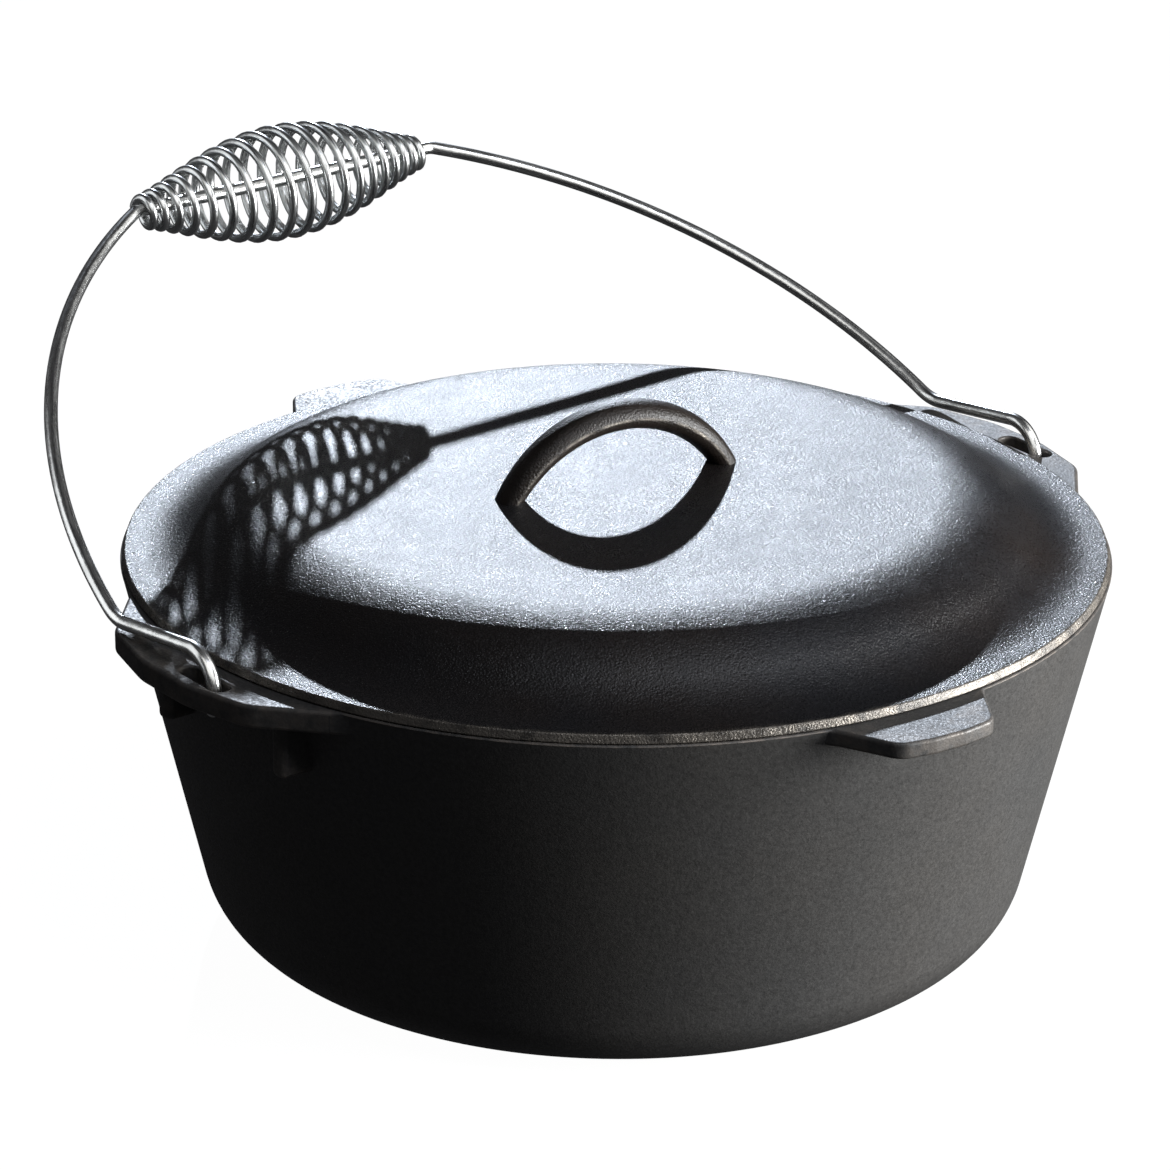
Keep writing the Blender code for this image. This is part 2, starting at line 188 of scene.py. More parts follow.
# Cast iron: its darkest and its brownest colour, grains per metre, the depths of the grain and of
# the casting's broad waves, its roughness, and the colour of its worn edges
POT_IRON = {
    "dark": (0.050, 0.049, 0.048), "brown": (0.055, 0.052, 0.049), "grain": 1100.0,
    "relief": 0.00004, "wave": 0.0003, "rough": 0.50, "worn": (0.22, 0.19, 0.165),
}
LID_IRON = {
    "dark": (0.010, 0.010, 0.0115), "brown": (0.014, 0.011, 0.010), "grain": 1250.0,
    "relief": 0.00014, "wave": 0.0004, "rough": 0.29, "worn": (0.24, 0.215, 0.185),
}
HANDLE_BROWN = (0.012, 0.0078, 0.0052)
HANDLE_DULLNESS = 0.12
BARE_METAL = 0.7
IRON_SPECULAR = 0.5

# Steel wire: its colour, its roughness and the depth of its drawing streaks
BAIL_STEEL = {"colour": (0.78, 0.78, 0.77), "rough": 0.27, "relief": 0.00003}
COIL_STEEL = {"colour": (0.70, 0.71, 0.71), "rough": 0.29, "relief": 0.00003}
DULL_STEEL = 0.62
STREAK_STRETCH = 0.05
RIPPLE_DEPTH = 0.00012

# Light
KEY_TURN = math.radians(93)
KEY_ELEVATION = math.radians(19.6)
KEY_POWER = 2.1
KEY_ANGLE = math.radians(0.9)
KEY_COLOUR = (0.80, 0.88, 1.0)
WORLD_COLOUR = (0.034, 0.034, 0.036)
FLOOR_SIZE = 12.0
FLOOR_DROP = 0.0002
FLOOR_SHARE = 0.92
FLOOR_GLOW = 1.07
FLOOR_MATT = (0.9, 0.9, 0.9, 1)
WHITE = (1, 1, 1, 1)

# Soft boxes: turn and elevation in degrees, distance, width and height, power and colour
ROOM_BOXES = {
    "right_box": (-8, 6, 1.3, (0.9, 0.6), 48, (0.99, 1.0, 1.0)),
    "front_box": (-52, 56, 1.5, (0.7, 0.35), 6, (0.88, 0.92, 1.0)),
}
WIRE_BOXES = {
    "wire_front": (-90, 40, 1.5, (2.2, 1.2), 13, (1.0, 1.0, 0.98)),
    "wire_left": (178, 20, 1.3, (0.8, 1.2), 5, (0.95, 0.98, 1.0)),
    "wire_right": (10, 40, 1.3, (0.9, 0.9), 5, (1.0, 1.0, 0.98)),
}


def arc(centre, radius, start, end, steps):
    """Points along an arc, both ends included."""
    angles = [start + (end - start) * i / steps for i in range(steps + 1)]
    return [(centre[0] + radius * math.cos(a), centre[1] + radius * math.sin(a)) for a in angles]


def rounded_path(corners, radii, steps):
    """An open path through its corners, each rounded to its radius. Works in 2D and in 3D."""
    path = [Vector(corners[0])]
    for i in range(1, len(corners) - 1):
        corner = Vector(corners[i])
        back = (Vector(corners[i - 1]) - corner).normalized()
        on = (Vector(corners[i + 1]) - corner).normalized()
        half = back.angle(on) / 2
        if radii[i] <= 0 or 2 * half > STRAIGHT_ANGLE:
            path.append(corner)
            continue
        centre = corner + (back + on).normalized() * (radii[i] / math.sin(half))
        tangent = radii[i] / math.tan(half)
        first = corner + back * tangent - centre
        last = corner + on * tangent - centre
        sweep_angle = first.angle(last)
        for step in range(steps + 1):
            share = step / steps
            a = math.sin((1 - share) * sweep_angle) / math.sin(sweep_angle)
            b = math.sin(share * sweep_angle) / math.sin(sweep_angle)
            path.append(centre + first * a + last * b)
    path.append(Vector(corners[-1]))
    return path


def lathe(name, profile):
    """A closed solid of revolution about Z, from a profile that starts and ends on the axis."""
    made = bmesh.new()
    rings = []
    for radius, height in profile:
        if radius <= MERGE:
            rings.append([made.verts.new((0.0, 0.0, height))] * TURN_STEPS)
            continue
        ring = []
        for i in range(TURN_STEPS):
            turn = 2 * math.pi * i / TURN_STEPS
            ring.append(made.verts.new((radius * math.cos(turn), radius * math.sin(turn), height)))
        rings.append(ring)
    for upper, lower in zip(rings, rings[1:]):
        for i in range(TURN_STEPS):
            j = (i + 1) % TURN_STEPS
            corners = [upper[i], upper[j], lower[j], lower[i]]
            corners = [v for n, v in enumerate(corners) if v not in corners[:n]]
            if len(corners) > 2:
                made.faces.new(corners)
    return finished(name, made)


def finished(name, made):
    """An object from a bmesh, its faces turned outwards."""
    bmesh.ops.recalc_face_normals(made, faces=made.faces)
    mesh = bpy.data.meshes.new(name)
    made.to_mesh(mesh)
    made.free()
    shown = bpy.data.objects.new(name, mesh)
    bpy.context.scene.collection.objects.link(shown)
    return shown


def grown(outline, distance):
    """The closed outline moved outwards by a distance, or inwards if it is negative."""
    count = len(outline)
    area = 0.0
    for i in range(count):
        a, b = outline[i], outline[(i + 1) % count]
        area += a[0] * b[1] - b[0] * a[1]
    side = 1 if area > 0 else -1
    moved = []
    for i in range(count):
        here = Vector(outline[i])
        back = (here - Vector(outline[i - 1])).normalized()
        on = (Vector(outline[(i + 1) % count]) - here).normalized()
        out_back = Vector((back.y, -back.x)) * side
        out_on = Vector((on.y, -on.x)) * side
        middle = (out_back + out_on).normalized()
        moved.append(here + middle * (distance / max(middle.dot(out_on), MITRE_LIMIT)))
    return moved


def loft(name, outline, levels):
    """A solid through the outline, grown by each level's distance at each level's height."""
    made = bmesh.new()
    rings = []
    for distance, height in levels:
        points = grown(outline, distance)
        rings.append([made.verts.new((point.x, point.y, height)) for point in points])
    count = len(outline)
    for lower, upper in zip(rings, rings[1:]):
        for i in range(count):
            j = (i + 1) % count
            made.faces.new([lower[i], lower[j], upper[j], upper[i]])
    made.faces.new(rings[0])
    made.faces.new(rings[-1])
    return finished(name, made)


def quarter(edge, steps=EDGE_STEPS):
    """Pairs from (1, 0) to (0, 1) along a quarter circle, times the edge's radius."""
    turns = [math.pi / 2 * i / steps for i in range(steps + 1)]
    return [(edge * (1 - math.cos(t)), edge * (1 - math.sin(t))) for t in turns]


def rounded_plate(name, outline, low, high, edge, low_edge):
    """A flat casting between two heights, with rounded edges."""
    below = [(-inset, low + rise) for rise, inset in quarter(low_edge)]
    above = [(-inset, high - drop) for inset, drop in quarter(edge)]
    return loft(name, outline, below + above)


def slot_cutter(name, outline, low, high, edge):
    """Cuts a slot whose edges are rounded where it meets the faces at both heights."""
    below = [(flare, low + rise) for rise, flare in quarter(edge)]
    above = [(flare, high - drop) for flare, drop in quarter(edge)]
    return loft(name, outline, [(edge, low - MARGIN), *below, *above, (edge, high + MARGIN)])


def combined(target, operation, others):
    """The target joined with, or cut by, the others, which are used up."""
    group = bpy.data.collections.new(target.name + "_" + operation.lower())
    bpy.context.scene.collection.children.link(group)
    for other in others:
        bpy.context.scene.collection.objects.unlink(other)
        group.objects.link(other)
    change = target.modifiers.new(operation.lower(), "BOOLEAN")
    change.operation = operation
    change.solver = "EXACT"
    change.operand_type = "COLLECTION"
    change.collection = group
    settle(target)
    for other in others:
        bpy.data.objects.remove(other)
    bpy.data.collections.remove(group)


def settle(target):
    """Applies the target's modifiers."""
    bpy.context.view_layer.update()
    graph = bpy.context.evaluated_depsgraph_get()
    mesh = bpy.data.meshes.new_from_object(target.evaluated_get(graph))
    target.modifiers.clear()
    target.data = mesh
    mesh.name = target.name


def cleaned(target):
    """Welds what the booleans left, shades it smooth and weighs its normals by area."""
    made = bmesh.new()
    made.from_mesh(target.data)
    bmesh.ops.remove_doubles(made, verts=made.verts, dist=MERGE)
    bmesh.ops.dissolve_degenerate(made, edges=made.edges, dist=MERGE)
    made.to_mesh(target.data)
    made.free()
    target.data.shade_smooth()
    target.data.set_sharp_from_angle(angle=SHARP_ANGLE)
    weighed = target.modifiers.new("weighed", "WEIGHTED_NORMAL")
    weighed.keep_sharp = True
    weighed.weight = 100
    settle(target)
    mark_wear(target)


def mark_wear(target):
    """Stores where iron wears: how far each point stands out, the lid's edge and the handle."""
    mesh = target.data
    points = np.empty(len(mesh.vertices) * 3)
    mesh.vertices.foreach_get("co", points)
    points = points.reshape(-1, 3)
    normals = np.empty(len(mesh.vertices) * 3)
    mesh.vertex_normals.foreach_get("vector", normals)
    normals = normals.reshape(-1, 3)
    edges = np.empty(len(mesh.edges) * 2, dtype=np.int64)
    mesh.edges.foreach_get("vertices", edges)
    edges = edges.reshape(-1, 2)
    along = points[edges[:, 0]] - points[edges[:, 1]]
    along /= np.maximum(np.linalg.norm(along, axis=1, keepdims=True), MERGE)
    total = np.zeros(len(points))
    for end, sign in ((0, 1), (1, -1)):
        lean = sign * (along * normals[edges[:, end]]).sum(axis=1)
        np.maximum.at(total, edges[:, end], lean)
    store(mesh, "wear", total)
    radius = np.hypot(points[:, 0], points[:, 1])
    lid_edge = (radius > GROUND_RADIUS) & (points[:, 2] > POT_HEIGHT + LID_GAP / 2)
    store(mesh, "ground", lid_edge)
    store(mesh, "handle", (radius < LOOP_SPAN) & (points[:, 2] > lid_top() + MERGE))


def store(mesh, name, values):
    """Keeps one number for each point, for the materials to read."""
    attribute = mesh.attributes.new(name, "FLOAT", "POINT")
    attribute.data.foreach_set("value", values.astype(np.float32))


def bowl_side(base_radius, floor, top, taper, corner):
    """Floor, rounded corner and tapered wall of the bowl, from the axis up to the height top."""
    centre_z = floor + corner
    centre_r = base_radius + corner * math.tan(taper) - corner / math.cos(taper)
    bend = arc((centre_r, centre_z), corner, -math.pi / 2, -taper, 2 * CORNER_STEPS)
    end = Vector((base_radius + (top - floor) * math.tan(taper), top))
    start = Vector(bend[-1])
    wall = [start.lerp(end, i / WALL_STEPS) for i in range(1, WALL_STEPS + 1)]
    reach = bend[0][0]
    ground = [(reach * i / WALL_STEPS, floor) for i in range(WALL_STEPS)]
    return ground + bend + [tuple(point) for point in wall]


def pot_taper():
    """The lean of the pot's wall, from upright."""
    return math.atan((POT_RIM_RADIUS - POT_BASE_RADIUS) / POT_HEIGHT)


def pot_inner_radius(height):
    """The radius of the wall's inner face at a height above the base."""
    taper = pot_taper()
    return POT_BASE_RADIUS + height * math.tan(taper) - POT_WALL / math.cos(taper)


def ear_outline(reach, half_width, sag, root_half_width, corner_radius, root_radius):
    """A plate on the rim at +X: from inside the wall, out round its edge and back."""
    edge = POT_RIM_RADIUS + reach
    root_x = math.sqrt(POT_RIM_RADIUS**2 - root_half_width**2) + ROOT_RISE
    tail = TAIL_RATIO * root_half_width / POT_RIM_RADIUS
    tail_x = POT_RIM_RADIUS * math.cos(tail) - TAIL_DEPTH
    tail_y = POT_RIM_RADIUS * math.sin(tail) - TAIL_DEPTH
    below = [
        (tail_x - 2 * MARGIN, MARGIN - tail_y),
        (tail_x, -tail_y),
        (root_x, -root_half_width),
        (edge - sag, -half_width),
        (edge, -half_width / 3),
    ]
    radii = [0, 0, root_radius, corner_radius, 2 * corner_radius]
    corners = below + [(x, -y) for x, y in reversed(below)]
    path = rounded_path(corners, radii + radii[::-1], CORNER_STEPS)
    return [(point.x, point.y) for point in path]


def turned_outline(outline, angle):
    """The outline turned about Z."""
    spin = Matrix.Rotation(angle, 2)
    return [tuple(spin @ Vector(point)) for point in outline]


def make_lug(side):
    """A bail lug at side * X with its two ribs, and what cuts its slot."""
    outline = ear_outline(
        LUG_REACH, LUG_HALF_WIDTH, LUG_SAG,
        LUG_ROOT_HALF_WIDTH, LUG_CORNER_RADIUS, LUG_ROOT_RADIUS,
    )
    outline = [(side * x, y) for x, y in outline]
    low = POT_HEIGHT - LUG_THICKNESS
    solids = [rounded_plate("lug", outline, low, POT_HEIGHT, LUG_EDGE, LUG_EDGE)]
    for place in RIB_PLACES:
        solids.append(make_rib(side, place))
    hook_x = side * (POT_RIM_RADIUS + HOOK_OFFSET)
    half = SLOT_WIDTH / 2
    front = HINGE_Y - HOOK_RADIUS - BAIL_WIRE / 2 - SLOT_FRONT + half
    back = HINGE_Y + SLOT_BACK - half
    slot = arc((hook_x, back), half, 0, math.pi, SLOT_STEPS)
    slot += arc((hook_x, front), half, math.pi, 2 * math.pi, SLOT_STEPS)
    return solids, slot_cutter("lug_slot", slot, low, POT_HEIGHT, SLOT_EDGE)


def make_rib(side, place):
    """A post under the lug, standing out from the wall."""
    top = POT_HEIGHT - LUG_THICKNESS / 2
    low = POT_HEIGHT - LUG_THICKNESS - RIB_DEPTH
    outer = math.sqrt((POT_RIM_RADIUS + RIB_REACH) ** 2 - place**2)
    inner = math.sqrt((pot_inner_radius(low) + POT_WALL / 2) ** 2 - place**2)
    half = RIB_WIDTH / 2
    corners = [(inner, -half), (outer, -half), (outer, half), (inner, half)]
    corner = half * RIB_CORNER_SHARE
    path = rounded_path(corners, [0, corner, corner, 0], CORNER_STEPS)
    outline = [(side * point.x, place + point.y) for point in path]
    return rounded_plate("rib", outline, low, top, RIB_EDGE / 4, RIB_EDGE)


def make_tab(side):
    """An assist tab, a little round from side * Y."""
    outline = ear_outline(
        TAB_REACH, TAB_HALF_WIDTH, TAB_SAG,
        TAB_ROOT_HALF_WIDTH, TAB_CORNER_RADIUS, TAB_ROOT_RADIUS,
    )
    spin = side * math.pi / 2 - TAB_OFFSET / POT_RIM_RADIUS
    low = POT_HEIGHT - TAB_THICKNESS
    return rounded_plate("tab", turned_outline(outline, spin), low, POT_HEIGHT, TAB_EDGE, TAB_EDGE)


def make_pot():
    """The pot: a turned bowl with its lugs, ribs and tabs, hollowed and slotted in one cut."""
    taper = pot_taper()
    outside = bowl_side(POT_BASE_RADIUS, 0.0, POT_HEIGHT - LIP_RADIUS, taper, POT_CORNER_RADIUS)
    lip = [(POT_RIM_RADIUS - a, POT_HEIGHT - b) for a, b in quarter(LIP_RADIUS)][1:]
    pot = lathe("pot_casting", outside + lip + [(0.0, POT_HEIGHT)])
    joined = []
    cutters = []
    for side in (-1, 1):
        solids, slot = make_lug(side)
        joined += solids + [make_tab(side)]
        cutters.append(slot)
    inside = bowl_side(
        pot_inner_radius(POT_FLOOR), POT_FLOOR, POT_HEIGHT - LIP_RADIUS, taper,
        POT_CORNER_RADIUS - POT_WALL,
    )
    inner = inside[-1][0]
    flare = [(inner + a, POT_HEIGHT - b) for a, b in quarter(LIP_RADIUS)][1:]
    above = [(inner + LIP_RADIUS, POT_HEIGHT + MARGIN), (0.0, POT_HEIGHT + MARGIN)]
    cutters.append(lathe("cavity", inside + flare + above))
    combined(pot, "UNION", joined)
    combined(pot, "DIFFERENCE", cutters)
    cleaned(pot)
    return pot


def lid_face(start, crown_radius, shoulder_radius, cove_radius):
    """Crown, shoulder and cove as arcs that run into each other, from the axis outwards."""
    r, z = 0.0, start
    heading = 0.0
    path = [(r, z)]
    stretches = (
        (crown_radius, LID_CROWN_SLOPE, CROWN_STEPS),
        (shoulder_radius, LID_SHOULDER_SLOPE, SHOULDER_STEPS),
        (cove_radius, LID_FLANGE_SLOPE, COVE_STEPS),
    )
    for radius, slope, steps in stretches:
        turn = 1 if slope > heading else -1
        centre = (r - turn * radius * math.sin(heading), z - turn * radius * math.cos(heading))
        begin = turn * math.pi / 2 - heading
        end = turn * math.pi / 2 - slope
        path += arc(centre, radius, begin, end, steps)[1:]
        r, z = path[-1]
        heading = slope
    return path


def lid_sizes():
    """The lid's outer radius, and the radii of its crown, shoulder and cove arcs."""
    outer = POT_RIM_RADIUS - LID_INSET - LID_EDGE_DRAFT
    crown = LID_CROWN_REACH / math.sin(LID_CROWN_SLOPE)
    run = outer - LID_FLANGE - LID_CROWN_REACH
    cove_run = run * LID_COVE_SHARE
    shoulder = (run - cove_run) / (math.sin(LID_SHOULDER_SLOPE) - math.sin(LID_CROWN_SLOPE))
    cove = cove_run / (math.sin(LID_SHOULDER_SLOPE) - math.sin(LID_FLANGE_SLOPE))
    return outer, crown, shoulder, cove


def lid_top():
    """The height of the crown's middle above the pot's base."""
    outer, crown, shoulder, cove = lid_sizes()
    face = lid_face(0.0, crown, shoulder, cove)
    flange = LID_FLANGE * math.tan(LID_FLANGE_SLOPE)
    return POT_HEIGHT + LID_GAP + LID_EDGE - face[-1][1] + flange


def make_lid():
    """The lid: a turned dome with a locating ring under it, joined with its loop handle."""
    outer, crown, shoulder, cove = lid_sizes()
    seat = POT_HEIGHT + LID_GAP
    upper = lid_face(lid_top(), crown, shoulder, cove)
    under = lid_face(lid_top() - LID_WALL, crown - LID_WALL, shoulder - LID_WALL, cove + LID_WALL)
    ring_outer = pot_inner_radius(POT_HEIGHT - RING_DEPTH) - RING_CLEARANCE
    ring_inner = ring_outer - RING_WIDTH
    inside = [point for point in under if point[0] < ring_inner - LID_EDGE_RADIUS]
    corners = [
        upper[-1],
        (outer, seat + LID_EDGE),
        (outer + LID_EDGE_DRAFT, seat),
        (ring_outer, seat),
        (ring_outer - LID_EDGE_RADIUS, seat - RING_DEPTH),
        (ring_inner, seat - RING_DEPTH),
        inside[-1],
    ]
    soft = LID_EDGE_RADIUS
    radii = [0, soft, soft / 2, soft, soft, soft, 0]
    edge = [tuple(point) for point in rounded_path(corners, radii, EDGE_STEPS)]
    lid = lathe("lid_casting", upper[:-1] + edge + inside[-2::-1])
    combined(lid, "UNION", [make_loop()])
    cleaned(lid)
    return lid


def make_loop():
    """The loop handle: an arch whose section is wider than it is thick, with a parting ridge."""
    radius = (LOOP_SPAN**2 / 4 + LOOP_HEIGHT**2) / (2 * LOOP_HEIGHT)
    middle = LOOP_HEIGHT - radius
    foot = math.asin((-LOOP_SINK - middle) / radius)
    points = arc((0.0, middle), radius, foot, math.pi - foot, LOOP_STEPS)
    place = Matrix.Translation((0, 0, lid_top())) @ Matrix.Rotation(LOOP_TURN, 4, "Z")
    path = [place @ Vector((x, 0, z)) for x, z in points]
    across = place.to_3x3() @ Vector((0, 1, 0))
    frames = []
    for i, point in enumerate(path):
        back = path[max(i - 1, 0)]
        on = path[min(i + 1, len(path) - 1)]
        out = across.cross((on - back).normalized()).normalized()
        share = 1 - (1 - LOOP_FOOT_SHARE) * abs(2 * i / LOOP_STEPS - 1) ** 2
        frames.append((point, across * (LOOP_WIDTH / 2 * share), out * (LOOP_THICKNESS / 2 * share)))
    section = []
    for i in range(LOOP_SIDES):
        turn = 2 * math.pi * i / LOOP_SIDES
        lean = min(abs(math.sin(turn)) / LOOP_RIDGE_WIDTH, 1.0)
        stand = 1 - LOOP_RIDGE * lean
        section.append((stand * math.cos(turn), stand * math.sin(turn)))
    return swept("loop", frames, section)


def swept(name, frames, section):
    """A closed tube through the frames, each a point and two half axes of the section."""
    made = bmesh.new()
    rings = []
    for point, side, out in frames:
        rings.append([made.verts.new(point + side * a + out * b) for a, b in section])
    count = len(section)
    for lower, upper in zip(rings, rings[1:]):
        for i in range(count):
            j = (i + 1) % count
            made.faces.new([lower[i], lower[j], upper[j], upper[i]])
    made.faces.new(rings[0])
    made.faces.new(rings[-1])
    return finished(name, made)


def round_wire(name, points, diameter, sides):
    """A round wire along the points, with rounded ends and its own straightened coordinates."""
    radius = diameter / 2
    path = [Vector(point) for point in points]
    shares = [i / EDGE_STEPS for i in range(1, EDGE_STEPS)]
    head = [path[0].lerp(path[1], share) for share in shares]
    tail = [path[-2].lerp(path[-1], share) for share in shares]
    path = path[:1] + head + path[1:-1] + tail + path[-1:]
    lengths = [0.0]
    for before, after in zip(path, path[1:]):
        lengths.append(lengths[-1] + (after - before).length)
    side = (path[1] - path[0]).orthogonal().normalized()
    frames = []
    for i, point in enumerate(path):
        along = (path[min(i + 1, len(path) - 1)] - path[max(i - 1, 0)]).normalized()
        side = (side - along * side.dot(along)).normalized()
        inset = min(lengths[i], lengths[-1] - lengths[i]) / (radius * END_LENGTH)
        round_share = math.sqrt(1 - (1 - min(inset, 1.0)) ** 2)
        size = radius * (END_SHARE + (1 - END_SHARE) * round_share)
        frames.append((point, side * size, along.cross(side) * size))
    turns = [2 * math.pi * i / sides for i in range(sides)]
    section = [(math.cos(turn), math.sin(turn)) for turn in turns]
    wire = swept(name, frames, section)
    wire.data.shade_smooth()
    wire.data.set_sharp_from_angle(angle=WIRE_SHARP_ANGLE)
    straight = wire.data.attributes.new("straight", "FLOAT_VECTOR", "POINT")
    unrolled = [(radius * a, radius * b, length) for length in lengths for a, b in section]
    straight.data.foreach_set("vector", np.array(unrolled, dtype=np.float32).ravel())
    return wire


def hinge_point():
    """The middle of the bail's hinge axis."""
    return Vector((0.0, HINGE_Y, POT_HEIGHT - LUG_THICKNESS / 2))


def hook_start():
    """Where round the hinge the hook's arc starts, so that the bend comes to rest on the lug."""
    rise = LUG_THICKNESS / 2 + BAIL_WIRE / 2 + REST_GAP
    return math.atan2(HOOK_RUN, HOOK_RADIUS) + math.asin(rise / math.hypot(HOOK_RUN, HOOK_RADIUS))


def bend_point():
    """Where the hook's run along the lug meets the arm, in the plane of the hooks."""
    start = hook_start()
    out = HOOK_RADIUS * Vector((0, math.cos(start), math.sin(start)))
    run = HOOK_RUN * Vector((0, math.sin(start), -math.cos(start)))
    return hinge_point() + out + run


def arm_direction():
    """The way the bail leans when it rests on the lugs."""
    return Vector((0, math.sin(BAIL_LEAN), math.cos(BAIL_LEAN)))


def grip_centre():
    """The coil's own centre, a little off the middle of the bail's straight stretch."""
    middle = bend_point() + ARM_HEIGHT * arm_direction()
    return Vector((GRIP_SHIFT, middle.y, middle.z - GRIP_DROP))


def bail_half():
    """The bail's middle line on the +X side, from its hook's end to the corner by the grip."""
    hook_x = POT_RIM_RADIUS + HOOK_OFFSET
    hinge = hinge_point()
    hook = arc((hinge.y, hinge.z), HOOK_RADIUS, HOOK_END, hook_start(), HOOK_STEPS)
    corners = [Vector((hook_x, y, z)) for y, z in hook]
    radii = [0] * len(corners)
    width = hook_x - GRIP_LENGTH / 2 - GRIP_END_SPACE
    chord = math.atan2(width, ARM_HEIGHT)
    last_slope = 2 * chord - ARM_START_SLOPE
    radius = ARM_HEIGHT / (math.sin(last_slope) - math.sin(ARM_START_SLOPE))
    along = arm_direction()
    turning = [0.0] + [(i + 1.5) / (ARM_STEPS + 2) for i in range(ARM_STEPS)] + [1.0]
    for share in turning:
        slope = ARM_START_SLOPE + (last_slope - ARM_START_SLOPE) * share
        rise = radius * (math.sin(slope) - math.sin(ARM_START_SLOPE))
        inward = radius * (math.cos(ARM_START_SLOPE) - math.cos(slope))
        base = bend_point() + rise * along
        corners.append(Vector((hook_x - inward, base.y, base.z)))
        radii.append({0.0: BEND_RADIUS, 1.0: ELBOW_RADIUS}.get(share, 0))
    return corners, radii


def make_bail():
    """The bail: one half of its wire, and its mirror image."""
    corners, radii = bail_half()
    mirrored = [Vector((-p.x, p.y, p.z)) for p in corners]
    path = rounded_path(corners + mirrored[::-1], radii + radii[::-1], BEND_STEPS)
    return round_wire("bail_wire", path, BAIL_WIRE, BAIL_SIDES)


def make_grip():
    """The coil: pitch and radius both shrink towards the ends."""
    centre = grip_centre()
    end_radius = (BAIL_WIRE + GRIP_WIRE) / 2 + GRIP_CLEARANCE
    swell = (GRIP_DIAMETER - GRIP_WIRE) / 2 - end_radius
    half = (GRIP_LENGTH - GRIP_WIRE) / 2
    count = GRIP_TURNS * COIL_POINTS
    points = []
    for i in range(count + 1):
        share = 2 * i / count - 1
        eased = (1 - GRIP_END_PITCH) * math.sin(share * math.pi / 2) + GRIP_END_PITCH * share
        round_share = max(math.cos(eased * math.pi / 2), 0.0) ** GRIP_FULLNESS
        radius = end_radius + swell * round_share
        turn = 2 * math.pi * i / COIL_POINTS
        offset = Vector((half * eased, radius * math.cos(turn), radius * math.sin(turn)))
        points.append(centre + offset)
    return round_wire("coil_wire", points, GRIP_WIRE, COIL_SIDES)


class Graph:
    """A material's or world's node tree, with its nodes added one by one."""

    def __init__(self, owner):
        owner.use_nodes = True
        self.tree = owner.node_tree
        self.tree.nodes.clear()

    def add(self, kind, inputs=None, **settings):
        node = self.tree.nodes.new(kind)
        for key, value in settings.items():
            setattr(node, key, value)
        for key, value in (inputs or {}).items():
            if isinstance(value, bpy.types.NodeSocket):
                self.tree.links.new(value, node.inputs[key])
            else:
                node.inputs[key].default_value = value
        return node

    def noise(self, place, scale, detail=3.0, roughness=0.55):
        inputs = {"Vector": place, "Scale": scale, "Detail": detail, "Roughness": roughness}
        return self.add("ShaderNodeTexNoise", inputs).outputs[0]

    def spread(self, value, low, high, to_low=0.0, to_high=1.0):
        inputs = {
            "Value": value, "From Min": low, "From Max": high, "To Min": to_low, "To Max": to_high,
        }
        return self.add("ShaderNodeMapRange", inputs).outputs["Result"]

    def maths(self, operation, first, second):
        node = self.add("ShaderNodeMath", {0: first, 1: second}, operation=operation)
        return node.outputs["Value"]

    def blend(self, share, first, second, kind="MIX"):
        inputs = {0: share, 6: first, 7: second}
        node = self.add("ShaderNodeMix", inputs, data_type="RGBA", blend_type=kind)
        return node.outputs[2]

    def attribute(self, name):
        return self.add("ShaderNodeAttribute", attribute_name=name).outputs["Fac"]

    def bump(self, height, distance, normal=None):
        inputs = {"Height": height, "Distance": distance, "Strength": 1.0}
        if normal:
            inputs["Normal"] = normal
        return self.add("ShaderNodeBump", inputs).outputs["Normal"]

    def surface(self, shader):
        self.add("ShaderNodeOutputMaterial", {"Surface": shader.outputs[0]})


def iron_colour(graph, place, handle, dark, brown, grain):
    """Nearly black, browner in broad patches and on the handle, and speckled by its grain."""
    patches = graph.spread(graph.noise(place, 16.0, 4.0), 0.35, 0.68)
    colour = graph.blend(patches, (*dark, 1), (*brown, 1))
    colour = graph.blend(handle, colour, (*HANDLE_BROWN, 1))
    fine = graph.noise(place, grain * 0.55, 3.0, 0.6)
    speckle = graph.spread(fine, 0.3, 0.7, 0.72, 1.25)
    tone = graph.add("ShaderNodeCombineColor", {"Red": speckle, "Green": speckle, "Blue": speckle})
    return graph.blend(1.0, colour, tone.outputs[0], "MULTIPLY")


def worn_share(graph, place):
    """How far the iron is rubbed bare: patchily, on its edges and on the lid's ground band."""
    edge = graph.spread(graph.attribute("wear"), 0.10, 0.30)
    rubbed = graph.spread(graph.noise(place, 160.0, 4.0, 0.65), 0.38, 0.62)
    edge = graph.maths("MULTIPLY", edge, rubbed)
    patchy = graph.spread(graph.noise(place, 110.0, 4.0, 0.6), 0.34, 0.66, 0.15, 1.0)
    band = graph.maths("MULTIPLY", graph.attribute("ground"), patchy)
    return graph.maths("MAXIMUM", edge, band)


def iron_normal(graph, place, grain, relief, wave):
    """Pebbles and sand grains, over the casting's broad waves."""
    pebbles = graph.add(
        "ShaderNodeTexVoronoi", {"Vector": place, "Scale": grain}, feature="F1",
    ).outputs["Distance"]
    sand = graph.noise(place, grain * 1.1, 3.0, 0.7)
    height = graph.maths("SUBTRACT", graph.maths("MULTIPLY", sand, 1.6), pebbles)
    broad = graph.bump(graph.noise(place, 30.0, 2.0, 0.5), wave)
    return graph.bump(height, relief, broad)


